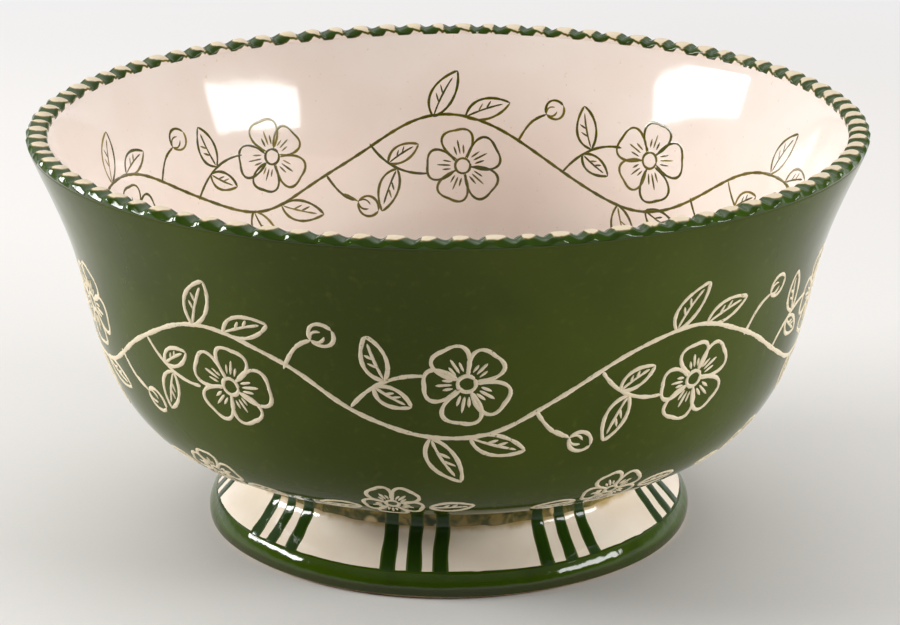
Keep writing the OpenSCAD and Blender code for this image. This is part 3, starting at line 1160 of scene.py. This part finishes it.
# Heights on the unit sphere: where the sky brightens, and where the plain background fades and ends
SKY_RISE = 0.4
PLAIN_FULL = 0.1
PLAIN_END = 0.2


def make_camera():
    """Camera at the photograph's viewing angle."""
    data = bpy.data.cameras.new("camera")
    data.sensor_width = SENSOR
    data.lens = FOCAL_PIXELS/IMAGE_WIDTH*SENSOR
    data.shift_x = PAN_PIXELS/IMAGE_WIDTH
    camera = bpy.data.objects.new("camera", data)
    bpy.context.collection.objects.link(camera)
    back = CAMERA_DISTANCE*math.cos(CAMERA_ELEVATION)
    up = CAMERA_DISTANCE*math.sin(CAMERA_ELEVATION)
    tilt = Matrix.Rotation(math.pi/2 - CAMERA_ELEVATION, 4, "X")
    roll = Matrix.Rotation(CAMERA_ROLL, 4, "Z")
    camera.matrix_world = Matrix.Translation((0, -back, CAMERA_AIM_Z + up)) @ tilt @ roll
    bpy.context.scene.camera = camera


def make_lamp(name, direction, distance, height, size, roll, radiance, shows=True):
    """Rectangular lamp turned to the middle of the bowl; one that doesn't show only lights."""
    data = bpy.data.lights.new(name, "AREA")
    data.shape = "RECTANGLE"
    data.size, data.size_y = size
    data.energy = radiance*math.pi*size[0]*size[1]
    lamp = bpy.data.objects.new(name, data)
    bpy.context.collection.objects.link(lamp)
    lamp.visible_camera = lamp.visible_glossy = shows
    a = math.radians(direction)
    stand = Matrix.Translation((distance*math.cos(a), distance*math.sin(a), height))
    tip = math.atan2(height - LAMP_AIM_Z, distance)
    turn = Matrix.Rotation(a + math.pi/2, 4, "Z") @ Matrix.Rotation(math.pi/2 - tip, 4, "X")
    lamp.matrix_world = stand @ turn @ Matrix.Rotation(math.radians(roll), 4, "Z")


def floor_paint():
    """Pale floor that turns into the plain background far from the bowl."""
    p = Paint("floor")
    cloud = p.noise(400, 2)
    grain = p.noise(1.2, 2)
    colour = p.mix(cloud, srgb(229, 226, 222), srgb(235, 232, 228))
    colour = p.mix(p.lerp(grain, 0.0, 0.1), colour, srgb(200, 197, 192))
    p.shader.inputs["Specular IOR Level"].default_value = 0.2
    p.bump((grain, 0.02), (cloud, 0.05))
    away = p.node("ShaderNodeVectorMath", operation="LENGTH")
    p.feed(p.where, away.inputs[0])
    far = p.step(away.outputs["Value"], FLOOR_NEAR, FLOOR_FAR)
    far = p.combine(far, p.shown(), "MULTIPLY")
    plain = p.node("ShaderNodeEmission")
    plain.inputs["Color"].default_value = SKY_TINT
    plain.inputs["Strength"].default_value = PALE
    both = p.node("ShaderNodeMixShader")
    p.feed(far, both.inputs[0])
    p.feed(p.shader.outputs[0], both.inputs[1])
    p.feed(plain.outputs[0], both.inputs[2])
    p.feed(both.outputs[0], p.tree.nodes["Material Output"].inputs["Surface"])
    return p.finish(colour, p.lerp(grain, 0.7, 0.85))


def make_sky():
    """Soft surroundings, brighter to the back and up; the horizon shows plain and pale."""
    world = bpy.data.worlds.new("studio")
    world.use_nodes = True
    n = Nodes(world.node_tree, "Generated")
    back, up = n.axis("Y"), n.axis("Z")
    high = n.ramp(back, 0.0, 1.0, 0.0, SKY_HIGH)
    high = n.combine(high, n.ramp(up, SKY_RISE, 1.0, 0.0, 1.0), "MULTIPLY")
    high = n.combine(high, n.ramp(up, SKY_RISE, 1.0, 0.0, SKY_TOP))
    level = n.combine(n.ramp(back, -0.05, 1.0, SKY_FRONT, SKY_BACK), high)
    horizon = n.ramp(up, PLAIN_END, PLAIN_FULL, 0.0, 1.0)
    pale = n.node("ShaderNodeMix")
    n.feed(n.combine(horizon, n.shown(), "MULTIPLY"), pale.inputs["Factor"])
    n.feed(level, pale.inputs["A"])
    n.feed(PALE, pale.inputs["B"])
    sky = n.tree.nodes["Background"]
    n.feed(SKY_TINT, sky.inputs["Color"])
    n.feed(pale.outputs["Result"], sky.inputs["Strength"])
    bpy.context.scene.world = world


def make_floor():
    """Round floor, flat at the level of the table."""
    a = np.linspace(0, 2*math.pi, FLOOR_SIDES, endpoint=False)[:, None]
    rings = FLOOR_R*np.linspace(0.002, 1, FLOOR_RINGS)[None, :]
    points = np.stack([rings*np.cos(a), rings*np.sin(a), 0*rings*a], axis=-1)
    faces = grid_faces(FLOOR_SIDES, FLOOR_RINGS, True)[:, ::-1]
    floor = mesh_object("floor", points.reshape(-1, 3), faces)
    floor.data.materials.append(floor_paint())


def make_studio():
    """Floor, lamps and surroundings."""
    make_floor()
    for name, settings in SOFTBOXES.items():
        make_lamp(name, **settings)
    for name, settings in STRIPS.items():
        make_lamp(name, **STRIP, **settings)
    make_sky()
    bpy.context.scene.view_settings.view_transform = "Standard"


def make_paints():
    return {
        "clay": clay_paint(),
        "green": green_paint(),
        "cream": cream_paint(),
        "foot_cream": foot_cream_paint(),
        "band": band_paint(),
        "stripe": stripe_paint(),
        "seam": seam_paint(),
        "rope": rope_paint(),
        "outer_line": outer_line_paint(),
        "inner_line": inner_line_paint(),
    }


def main():
    paints = make_paints()
    dress_frame(paints)
    make_coats(paints)
    make_band(paints)
    make_seam(paints)
    make_rope(paints)
    make_stripes(paints)
    make_vines(paints)
    make_studio()
    make_camera()
    bpy.context.view_layer.update()


main()
